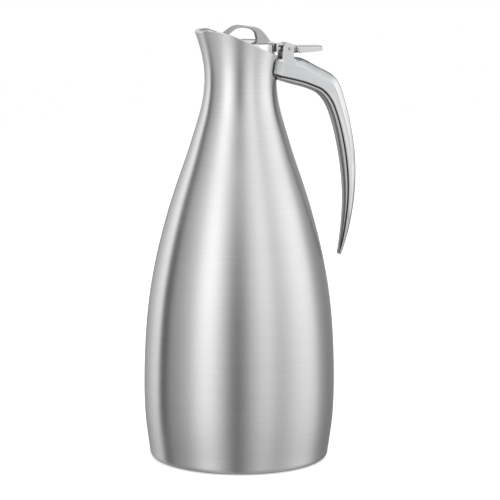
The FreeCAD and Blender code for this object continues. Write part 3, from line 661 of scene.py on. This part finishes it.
rings = [at_neck(handle_section(row, strip_places)) for row in handle_rows]
ring_size = len(rings[0])
bm = lofted(rings)
bm.verts.index_update()
# Faces of the band on the seat take the black colour: painted shade in the gap under the casting.
for face in bm.faces:
    if all(vert.index % ring_size >= ring_size - shade_band_points for vert in face.verts):
        face.material_index = 1
bmesh.ops.remove_doubles(bm, verts=bm.verts, dist=handle_weld_gap * mm)
bmesh.ops.recalc_face_normals(bm, faces=bm.faces)
handle_strip = piece("handle_strip", bm, satin_steel, "carafe", "satin_steel", "handle_cover")
handle_strip.data.materials.append(black_rubber)


# Hinge pin: a ground steel rod, pressed into both ears of the handle, with its ends rounded over.
# A thin steel washer beside each knuckle keeps the lever from rubbing on the ears.
pin_radius = 1.5
pin_reach = 8.3
pin_steps = 32
pin_end = [(0.9, 0.0), (1.3, 0.12), (pin_radius, 0.4)]


def laid_on_pin(bm):
    """Turns a shape from the upright axis to the hinge pin."""
    quarter_turn = Matrix.Rotation(math.radians(90), 3, "X")
    bmesh.ops.rotate(bm, verts=bm.verts, cent=(0, 0, 0), matrix=quarter_turn)
    bmesh.ops.translate(bm, verts=bm.verts, vec=(pin_x * mm, 0, pin_z * mm))
    return bm


pin_line = [(0.0, -pin_reach)] + [(radius, -pin_reach + back) for radius, back in pin_end]
pin_line += [(radius, -z) for radius, z in reversed(pin_line)]
piece("pin_rod", laid_on_pin(turned(pin_line, pin_steps)), plain_steel, "carafe", "plain_steel",
      "hinge_pin")
dress(plain_steel, "hinge_washers")


# Torsion spring on the pin: drawn spring wire, wound cold. One leg stands on the handle and the
# other lifts the tongue, so the lid shuts by itself.
wire_radius = 0.4
wire_sides = 10
coil_radius = 2.9
coil_pitch = 1.3
coil_turns = 3.75
coil_steps = 90
leg_gap = 0.3
arm_bends = ((6.2, 0.0, 0.0), (0.85, 0.0, 0.35), (0.35, 0.0, 0.85))
arm_end = 299.8

# Cold-drawn spring wire: dark grey, with fine die marks along the wire.
spring_wire, tree, shader = new_material("spring_wire")
die_mark = 0.6
coords = add_node(tree, "ShaderNodeTexCoord")
marks = add_node(tree, "ShaderNodeTexNoise", [("Vector", (coords, "Object"))],
                 in_Scale=1 / (die_mark * mm))
tone = add_node(tree, "ShaderNodeMix", [(0, (marks, "Fac"))],
                data_type="RGBA", in_6=linear("58585B"), in_7=linear("7C7C80"))
tree.links.new(tone.outputs[2], shader.inputs["Base Color"])
shader.inputs["Metallic"].default_value = 1.0
shader.inputs["Roughness"].default_value = 0.32


def drawn_out(bm, ring):
    """Draws a ring of edges out into a new one: returns the new ring's edges and vertices."""
    drawn = bmesh.ops.extrude_edge_only(bm, edges=ring)["geom"]
    edges = [item for item in drawn if isinstance(item, bmesh.types.BMEdge)]
    return edges, [item for item in drawn if isinstance(item, bmesh.types.BMVert)]


bm = bmesh.new()
coil_start = coil_pitch * coil_turns / 2
wire_start = Matrix.Translation(((pin_x + coil_radius) * mm, coil_start * mm, pin_z * mm))
ring = bmesh.ops.create_circle(bm, segments=wire_sides, radius=wire_radius * mm, matrix=wire_start)
first_ring = bm.edges[:]
_, moved = drawn_out(bm, first_ring)
bmesh.ops.translate(bm, verts=moved, vec=(0, 0, (handle_top + leg_gap - pin_z) * mm))
wound = bmesh.ops.spin(bm, geom=ring["verts"] + first_ring, cent=(pin_x * mm, 0, pin_z * mm),
                       axis=(0, -1, 0), dvec=(0, -coil_pitch * coil_turns / coil_steps * mm, 0),
                       angle=2 * math.pi * coil_turns, steps=coil_steps)
last_ring = [item for item in wound["geom_last"] if isinstance(item, bmesh.types.BMEdge)]
for bend in arm_bends:
    last_ring, moved = drawn_out(bm, last_ring)
    bmesh.ops.translate(bm, verts=moved, vec=Vector(bend) * mm)
_, moved = drawn_out(bm, last_ring)
for vert in moved:
    vert.co.z = arm_end * mm
bmesh.ops.holes_fill(bm, edges=bm.edges, sides=wire_sides + 2)
bmesh.ops.recalc_face_normals(bm, faces=bm.faces)
mesh = bpy.data.meshes.new("wire_spring")
bm.to_mesh(mesh)
bm.free()
mesh.polygons.foreach_set("use_smooth", [True] * len(mesh.polygons))
mesh.materials.append(spring_wire)
wire_spring = bpy.data.objects.new("wire_spring", mesh)
bpy.context.collection.objects.link(wire_spring)
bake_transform(wire_spring)
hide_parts("lid_spring")


# Lid cap: a shallow dome pressed from stainless sheet with a straight skirt, buffed bright.
# The skirt has a slot at the hinge, where the plug's lug comes through. The plug snaps into it.
lid_radius = 24.5
dome_crown = 306.0
dome_radius = 166.0
dome_edge = 1.5
dome_rows = 24
cap_steps = 180
skirt_middle = 299.5
skirt_low = 296.4
hem_rise = 0.5
hem_inset = 0.1
lid_sheet = 0.8
slot_low = 297.6
slot_high = 301.4
slot_angle = 19.0

cap_line = []
for radius in np.linspace(0, lid_radius - dome_edge, dome_rows):
    rise = math.sqrt(dome_radius ** 2 - radius ** 2)
    cap_line.append((float(radius), dome_crown - dome_radius + rise))
bend_x, bend_z = cap_line[-1]
cap_line += arc(bend_x, bend_z - dome_edge, dome_edge, start=90, turn=-90, steps=6)[1:]
cap_line += [(lid_radius, z) for z in (slot_high, skirt_middle, slot_low, skirt_low + hem_rise)]
cap_line.append((lid_radius - hem_inset, skirt_low))
bm = turned(cap_line, cap_steps)
half_step = Matrix.Rotation(math.radians(180 / cap_steps), 3, "Z")
bmesh.ops.rotate(bm, verts=bm.verts, cent=(0, 0, 0), matrix=half_step)
slot_faces = []
for face in bm.faces:
    middle = face.calc_center_median()
    angle = math.degrees(math.atan2(middle.y, middle.x))
    if abs(angle) < slot_angle and slot_low * mm < middle.z < slot_high * mm:
        slot_faces.append(face)
bmesh.ops.delete(bm, geom=slot_faces, context="FACES")
cap_dome = piece("cap_dome", bm, polished_steel, "lid", "chrome", "lid_cap")
thicken(cap_dome, lid_sheet)


# Loop on the lid: an arched grip cut from stainless plate and screwed to the dome from below.
# It is thin over the top and broad at the foot beside the hinge, and a sill joins its feet. Its
# edges are eased. The lines are shares of the lid's radius and of the loop's rise.
loop_half = 3.2
loop_base = 307.5
loop_rise = 9.2
loop_edge = 0.6
loop_outer = [
    (-0.82, -0.6), (-0.6, 0.2), (-0.4, 0.62), (-0.18, 0.95), (0.02, 0.955), (0.3, 0.845),
    (0.49, 0.75), (0.62, 0.52), (0.76, 0.12), (0.93, -0.6),
]
loop_inner = [
    (-0.62, -0.6), (-0.44, 0.1), (-0.3, 0.42), (-0.15, 0.7), (0.0, 0.78), (0.2, 0.715),
    (0.33, 0.59), (0.405, 0.42), (0.44, 0.18), (0.48, -0.6),
]
# Tilt and reach of the faces round the window that take the painted shade.
shade_face_tilt = 0.3
shade_face_reach = 0.6
sill_line = [(-15.0, 302.4), (-15.0, 306.5), (1.6, 306.4), (12.6, 306.1), (12.6, 302.4)]
sill_half = 3.15


def loop_line(shares, count):
    """Smooth side-view line in millimetres from the loop's shares."""
    points = [(x * lid_radius, loop_base + z * loop_rise) for x, z in shares]
    return smooth_line(points, count)


# Painted shade inside the loop: a darker steel colour on the faces round the window, standing in
# for the shade under the arch.
loop_shade_steel, tree, shader = new_material("painted_shade_loop_steel")
shade_mottle_size = 0.8
coords = add_node(tree, "ShaderNodeTexCoord")
marks = add_node(tree, "ShaderNodeTexNoise", [("Vector", (coords, "Object"))],
                 in_Scale=1 / (shade_mottle_size * mm))
tone = add_node(tree, "ShaderNodeMix", [(0, (marks, "Fac"))],
                data_type="RGBA", in_6=linear("565658"), in_7=linear("66666A"))
tree.links.new(tone.outputs[2], shader.inputs["Base Color"])
shader.inputs["Metallic"].default_value = 1.0
shader.inputs["Roughness"].default_value = 0.35

bm = bmesh.new()
window_line = loop_line(loop_inner, count=40)
plate(bm, loop_line(loop_outer, count=48) + window_line[::-1], -loop_half, loop_half, loop_edge)
# Faces round the window take the darker colour: painted shade under the arch.
for face in bm.faces:
    middle = face.calc_center_median() / mm
    gap = min(math.hypot(middle.x - x, middle.z - z) for x, z in window_line)
    if abs(face.normal.y) < shade_face_tilt and gap < shade_face_reach:
        face.material_index = 1
plate(bm, sill_line, -sill_half, sill_half, loop_edge)
lid_loop = piece("lid_loop", bm, satin_steel, "lid", "satin_steel", "lid_grip")
lid_loop.data.materials.append(loop_shade_steel)
lid_loop.modifiers.new("flat_faces", "WEIGHTED_NORMAL").keep_sharp = True
dress(plain_steel, "grip_screws")


# Plug under the lid: a moulded cup of black plastic that snaps into the cap and is filled with foam
# against the heat. A groove round it carries the seal, and a lug at the hinge takes the lever's
# screws. Its line gives radius and height, the lug's line x and height.
plug_line = [
    (0.0, 281.0), (19.8, 281.0), (20.6, 281.4), (21.0, 282.2), (21.0, 287.8), (20.2, 287.8),
    (20.2, 290.8), (21.0, 290.8), (21.0, 295.0), (24.3, 295.0), (24.5, 295.2), (24.5, 296.4),
    (23.5, 296.4), (23.5, 300.8), (21.5, 300.8), (21.5, 296.4), (18.2, 296.4), (18.2, 283.0),
    (0.0, 283.0),
]
plug_steps = 128
lug_line = [(18.2, 297.9), (24.8, 297.9), (24.8, 301.3), (18.2, 301.3)]
lug_half = 7.7
lug_edge = 0.25

# Polypropylene, moulded black: satin, with the fine spark texture of the mould.
black_plastic, tree, shader = new_material("black_polypropylene")
spark = 0.5
coords = add_node(tree, "ShaderNodeTexCoord")
texture = add_node(tree, "ShaderNodeTexNoise", [("Vector", (coords, "Object"))],
                   in_Scale=1 / (spark * mm))
tone = add_node(tree, "ShaderNodeMix", [(0, (texture, "Fac"))],
                data_type="RGBA", in_6=linear("151516"), in_7=linear("1F1F20"))
bumps = add_node(tree, "ShaderNodeBump", [("Height", (texture, "Fac"))],
                 in_Strength=0.15, in_Distance=0.03 * mm)
tree.links.new(tone.outputs[2], shader.inputs["Base Color"])
tree.links.new(bumps.outputs[0], shader.inputs["Normal"])
shader.inputs["Roughness"].default_value = 0.42
shader.inputs["IOR"].default_value = 1.49

bm = turned(plug_line, plug_steps)
plate(bm, lug_line, -lug_half, lug_half, lug_edge)
piece("plug_cup", bm, black_plastic, "lid", "black_plastic", "lid_plug")

# Cut polyurethane foam: pale straw, open cells, quite matt.
foam_block, tree, shader = new_material("polyurethane_foam")
cell = 0.7
coords = add_node(tree, "ShaderNodeTexCoord")
cells = add_node(tree, "ShaderNodeTexVoronoi", [("Vector", (coords, "Object"))],
                 in_Scale=1 / (cell * mm))
tone = add_node(tree, "ShaderNodeMix", [(0, (cells, "Distance"))],
                data_type="RGBA", in_6=linear("CFC9B4"), in_7=linear("EEE9D9"))
bumps = add_node(tree, "ShaderNodeBump", [("Height", (cells, "Distance"))],
                 in_Strength=0.5, in_Distance=0.2 * mm)
tree.links.new(tone.outputs[2], shader.inputs["Base Color"])
tree.links.new(bumps.outputs[0], shader.inputs["Normal"])
shader.inputs["Roughness"].default_value = 0.9
dress(foam_block, "lid_foam")


# Seal: a soft ring of silicone, moulded in one piece and stretched into the plug's groove.
# Its lip bends against the neck when the lid shuts.
seal_line = [
    (20.2, 287.8), (21.0, 287.8), (22.0, 288.4), (23.0, 289.1), (23.35, 289.4), (23.4, 289.75),
    (23.2, 290.05), (22.2, 290.4), (21.0, 290.8), (20.2, 290.8), (20.2, 287.8),
]
seal_steps = 128

# Silicone rubber: milky grey, a little glossy, with a soft edge where light goes in.
silicone, tree, shader = new_material("silicone_rubber")
cloud = 5.0
scatter = 1.0
coords = add_node(tree, "ShaderNodeTexCoord")
clouds = add_node(tree, "ShaderNodeTexNoise", [("Vector", (coords, "Object"))],
                  in_Scale=1 / (cloud * mm))
tone = add_node(tree, "ShaderNodeMix", [(0, (clouds, "Fac"))],
                data_type="RGBA", in_6=linear("B5B5B2"), in_7=linear("C6C6C3"))
tree.links.new(tone.outputs[2], shader.inputs["Base Color"])
shader.inputs["Roughness"].default_value = 0.45
shader.inputs["IOR"].default_value = 1.41
shader.inputs["Subsurface Weight"].default_value = 0.15
shader.inputs["Subsurface Scale"].default_value = scatter * mm
piece("neck_seal", turned(seal_line, seal_steps), silicone, "lid", "silicone", "lid_seal")


# Thumb lever: a tongue folded from stainless plate with skirts down both sides, welded to two
# knuckles on the pin and to an arm whose tab is screwed to the plug's lug. Polished, then chromium
# plated.
tab_x = 24.8
tab_low = 297.0
tab_sheet = 1.8
tab_edge = 0.3
arm_low = 301.8
arm_high = 303.2
lever_half = 6.0
spring_gap_half = 3.1
spring_gap_reach = 4.4
strap_lap = 0.4
strap_edge = 0.25
knuckle_radius = 3.6
knuckle_bore = 1.56
knuckle_edge = 0.3
knuckle_steps = 48
tongue_top = 301.5
tongue_sheet = 1.4
tongue_half = 8.0
tongue_left = 39.0
tongue_tip = 59.1
tip_low = 298.0
tip_corner = 2.6
back_corner = 1.6
corner_reach = 2.0
corner_height = 3.0
heel_x = 40.8
heel_low = 296.0
heel_reach = 0.3
heel_round = 1.2
top_round = 1.3
top_gap = 0.01
under_tilt = -0.7


def box_line(x_low, x_high, z_low, z_high):
    """Side-view outline of a rectangle."""
    return [(x_low, z_low), (x_high, z_low), (x_high, z_high), (x_low, z_high)]


bm = bmesh.new()
gap_left = pin_x - spring_gap_reach
gap_right = pin_x + spring_gap_reach
tab_right = tab_x + tab_sheet
tongue_low = tongue_top - tongue_sheet
arm_line = [(tab_x, tab_low), (tab_right, tab_low), (tab_right, arm_low), (gap_left, arm_low),
            (gap_left, arm_high), (tab_x, arm_high)]
plate(bm, arm_line, -lever_half, lever_half, tab_edge)
for y_low, y_high in ((spring_gap_half, lever_half), (-lever_half, -spring_gap_half)):
    plate(bm, box_line(gap_left - strap_lap, pin_x, arm_low, arm_high), y_low, y_high, strap_edge)
    plate(bm, box_line(pin_x, gap_right + strap_lap, tongue_low, tongue_top), y_low, y_high,
          strap_edge)
    knuckle_line = [
        (knuckle_bore, y_low), (knuckle_radius - knuckle_edge, y_low),
        (knuckle_radius, y_low + knuckle_edge), (knuckle_radius, y_high - knuckle_edge),
        (knuckle_radius - knuckle_edge, y_high), (knuckle_bore, y_high), (knuckle_bore, y_low),
    ]
    add_shape(bm, laid_on_pin(turned([(r, -y) for r, y in knuckle_line], knuckle_steps)))
plate(bm, box_line(gap_right, heel_x, tongue_low, tongue_top), -lever_half, lever_half, strap_edge)

tongue = bmesh.new()
bmesh.ops.create_cube(tongue, size=2.0)
for vert in tongue.verts:
    at_tip = vert.co.x > 0
    high = vert.co.z > 0
    x = tongue_tip if at_tip else (tongue_left if high else heel_x)
    z = tongue_top if high else (tip_low if at_tip else heel_low)
    vert.co = (x * mm, tongue_half * mm * vert.co.y, z * mm)
for end_x, corner_radius in ((tongue_tip, tip_corner), (tongue_left, back_corner)):
    corners = []
    for edge in tongue.edges:
        upright = abs(edge.verts[0].co.z - edge.verts[1].co.z) > corner_height * mm
        if upright and max(abs(vert.co.x - end_x * mm) for vert in edge.verts) < corner_reach * mm:
            corners.append(edge)
    rounded(tongue, corners, corner_radius, segments=5)
heel = []
for edge in tongue.edges:
    if max(vert.co.z for vert in edge.verts) < (heel_low + heel_reach) * mm:
        heel.append(edge)
rounded(tongue, heel, heel_round, segments=4)
bmesh.ops.recalc_face_normals(tongue, faces=tongue.faces)
under = [face for face in tongue.faces if face.normal.z < under_tilt]
bmesh.ops.delete(tongue, geom=under, context="FACES")
top_edges = []
for edge in tongue.edges:
    if not edge.is_boundary and min(vert.co.z for vert in edge.verts) > (tongue_top - top_gap) * mm:
        top_edges.append(edge)
rounded(tongue, top_edges, top_round, segments=5, clamp=True)
bmesh.ops.recalc_face_normals(tongue, faces=tongue.faces)
bmesh.ops.solidify(tongue, geom=tongue.faces, thickness=tongue_sheet * mm)
add_shape(bm, tongue)
lid_lever = piece("lid_lever", bm, chromium_plate, "lid", "chrome", "thumb_lever")
lid_lever.modifiers.new("flat_faces", "WEIGHTED_NORMAL").keep_sharp = True
dress(plain_steel, "lever_screws")


# Studio: a pale table under the carafe, in a round light tent of white cloth whose panels make the
# tall soft bands on the wall. The camera stands a little to the spout side and looks slightly down,
# as for the photograph.
camera_aim = Vector((0, 0, 0.160))
camera_roll = 0.25
camera_data = bpy.data.cameras.new("camera")
camera_data.lens = 165.8
camera_data.sensor_width = 36.0
camera_data.shift_x = 0.0204
camera_data.shift_y = -0.0195
camera_data.clip_end = 20.0
camera = bpy.data.objects.new("camera", camera_data)
camera.location = (-0.3451, -1.6237, 0.408)
camera.rotation_euler = (camera_aim - camera.location).to_track_quat("-Z", "Y").to_euler()
camera.rotation_euler.rotate_axis("Z", math.radians(camera_roll))
bpy.context.collection.objects.link(camera)
bpy.context.scene.camera = camera
bpy.context.scene.view_settings.view_transform = "Standard"

world = bpy.data.worlds.new("studio")
world.use_nodes = True
world.node_tree.nodes["Background"].inputs["Color"].default_value = (1, 1, 1, 1)
world.node_tree.nodes["Background"].inputs["Strength"].default_value = 1.0
bpy.context.scene.world = world


def stage_mesh(name, bm, material):
    """Object of the studio, which isn't part of the carafe."""
    mesh = bpy.data.meshes.new(name)
    bm.to_mesh(mesh)
    bm.free()
    mesh.materials.append(material)
    obj = bpy.data.objects.new(name, mesh)
    bpy.context.collection.objects.link(obj)
    return obj


# White table: matt, so that it takes only a faint soft shade under the base.
table_radius = 2.5
round_steps = 96
table_white, tree, shader = new_material("white_table")
grain = add_node(tree, "ShaderNodeTexNoise", in_Scale=40.0)
tone = add_node(tree, "ShaderNodeMix", [(0, (grain, "Fac"))],
                data_type="RGBA", in_6=linear("F4F4F4"), in_7=linear("F8F8F8"))
tree.links.new(tone.outputs[2], shader.inputs["Base Color"])
shader.inputs["Roughness"].default_value = 0.9
shader.inputs["Emission Color"].default_value = (1, 1, 1, 1)
shader.inputs["Emission Strength"].default_value = 0.4
bm = bmesh.new()
bmesh.ops.create_circle(bm, cap_ends=True, segments=round_steps, radius=table_radius)
table = stage_mesh("table", bm, table_white)
table.visible_glossy = False

# Tent cloth: lit panels with dark gaps between them, as angles from the camera in degrees and
# brightness. The roof is darker behind, and the cloth dims towards the floor.
tent_panels = [
    (-180, 0.9), (-170, 0.85), (-162, 0.35), (-152, 0.72), (-140, 0.82), (-130, 1.22),
    (-114.2, 1.6), (-109.8, 0.05), (-101, 0.1), (-91, 0.55), (-79, 0.66), (-63, 1.0), (-49, 1.75),
    (-40, 1.98), (-32, 1.8), (-10, 0.37), (-2, 0.17), (6, 0.41), (16, 0.92), (29, 1.38),
    (38, 1.34), (49, 0.95), (60, 1.1), (75, 1.52), (90, 1.68), (103, 1.46), (113, 0.84),
    (122, 0.57), (135, 0.42), (160, 0.45), (170, 0.85),
]
tent_peak = 2.0
tent_low_share = 0.53
tent_turn = 102
tent_radius = 2.6
tent_height = 6.0
tent_middle = 1.0
roof_level = 1.12
roof_back = 0.15
floor_level = 0.7
tent_cloth = bpy.data.materials.new("tent_cloth")
tent_cloth.use_nodes = True
tree = tent_cloth.node_tree
tree.nodes.clear()
coords = add_node(tree, "ShaderNodeTexCoord")
turned_coords = add_node(tree, "ShaderNodeMapping", [("Vector", (coords, "Object"))],
                         in_Rotation=(0, 0, math.radians(tent_turn)))
axes = add_node(tree, "ShaderNodeSeparateXYZ", [("Vector", (turned_coords, "Vector"))])
angle = add_node(tree, "ShaderNodeMath", [(0, (axes, "Y")), (1, (axes, "X"))],
                 operation="ARCTAN2")
share = add_node(tree, "ShaderNodeMapRange", [("Value", (angle, "Value"))],
                 in_From_Min=-math.pi, in_From_Max=math.pi)
panels = add_node(tree, "ShaderNodeValToRGB", [("Fac", (share, "Result"))])
stops = panels.color_ramp.elements
stops[0].position = 0.0
stops[1].position = 1.0
for degrees, level in tent_panels:
    stop = stops[0] if degrees == -180 else stops.new(degrees / 360 + 0.5)
    stop.color = [level / tent_peak] * 3 + [1]
stops[-1].color = stops[0].color
fade = add_node(tree, "ShaderNodeMapRange", [("Value", (axes, "Z"))],
                interpolation_type="SMOOTHSTEP", in_From_Min=-1.2, in_From_Max=1.0,
                in_To_Min=tent_low_share * tent_peak, in_To_Max=tent_peak)
roof = add_node(tree, "ShaderNodeMapRange", [("Value", (axes, "Z"))],
                interpolation_type="SMOOTHSTEP", in_From_Min=0.9, in_From_Max=2.6)
floor = add_node(tree, "ShaderNodeMapRange", [("Value", (axes, "Z"))],
                 interpolation_type="SMOOTHSTEP", in_From_Min=-1.8, in_From_Max=-0.6, in_To_Min=0.5)
lower = add_node(tree, "ShaderNodeMix", [(0, (floor, "Result")), (7, (panels, "Color"))],
                 data_type="RGBA", in_6=[floor_level / tent_peak] * 3 + [1])
roof_tone = add_node(tree, "ShaderNodeMapRange", [("Value", (axes, "X"))],
                     in_From_Min=-1.2, in_From_Max=0.6,
                     in_To_Min=roof_back / tent_peak, in_To_Max=roof_level / tent_peak)
cloth = add_node(tree, "ShaderNodeMix",
                 [(0, (roof, "Result")), (6, (lower, 2)), (7, (roof_tone, "Result"))],
                 data_type="RGBA")
glow = add_node(tree, "ShaderNodeEmission",
                [("Color", (cloth, 2)), ("Strength", (fade, "Result"))])
add_node(tree, "ShaderNodeOutputMaterial", [("Surface", (glow, "Emission"))])
bm = bmesh.new()
bmesh.ops.create_cone(bm, cap_ends=True, segments=round_steps, radius1=tent_radius,
                      radius2=tent_radius, depth=tent_height,
                      matrix=Matrix.Translation((0, 0, tent_middle)))
tent = stage_mesh("tent", bm, tent_cloth)
tent.visible_camera = False

lamp_data = bpy.data.lights.new("table_light", "AREA")
lamp_data.shape = "DISK"
lamp_data.size = 4.0
lamp_data.energy = 40.0
lamp = bpy.data.objects.new("table_light", lamp_data)
lamp.location = (0, 0, 2.4)
lamp.visible_glossy = False
bpy.context.collection.objects.link(lamp)

# Reflector card: a curved white sheet in front of the shoulder, lit from above, that fills the
# shade under the flare. Only its upper side glows, and all other light passes through it.
card_near = 0.13
card_far = 0.7
card_level = 0.165
card_glow = 0.3
card_start = -209
card_sweep = 219
card_steps = 64
card_white = bpy.data.materials.new("reflector_card")
card_white.use_nodes = True
tree = card_white.node_tree
tree.nodes.clear()
side = add_node(tree, "ShaderNodeNewGeometry")
face_up = add_node(tree, "ShaderNodeMath", [(1, (side, "Backfacing"))],
                   operation="SUBTRACT", in_0=card_glow)
upper = add_node(tree, "ShaderNodeMath", [(0, (face_up, "Value"))], operation="MAXIMUM", in_1=0.0)
glow = add_node(tree, "ShaderNodeEmission", [("Strength", (upper, "Value"))])
clear = add_node(tree, "ShaderNodeBsdfTransparent")
both = add_node(tree, "ShaderNodeAddShader", [(0, (glow, "Emission")), (1, (clear, "BSDF"))])
add_node(tree, "ShaderNodeOutputMaterial", [("Surface", (both, "Shader"))])
bm = bmesh.new()
reach = [bm.verts.new((radius, 0, card_level)) for radius in (card_near, card_far)]
edge = bm.edges.new(reach)
bmesh.ops.rotate(bm, verts=reach, cent=(0, 0, 0),
                 matrix=Matrix.Rotation(math.radians(card_start), 3, "Z"))
bmesh.ops.spin(bm, geom=reach + [edge], cent=(0, 0, 0), axis=(0, 0, 1),
               angle=math.radians(card_sweep), steps=card_steps)
bmesh.ops.recalc_face_normals(bm, faces=bm.faces)
if bm.faces[:][0].normal.z < 0:
    bmesh.ops.reverse_faces(bm, faces=bm.faces)
card = stage_mesh("card", bm, card_white)
card.visible_camera = False
card.visible_diffuse = False
card.visible_shadow = False
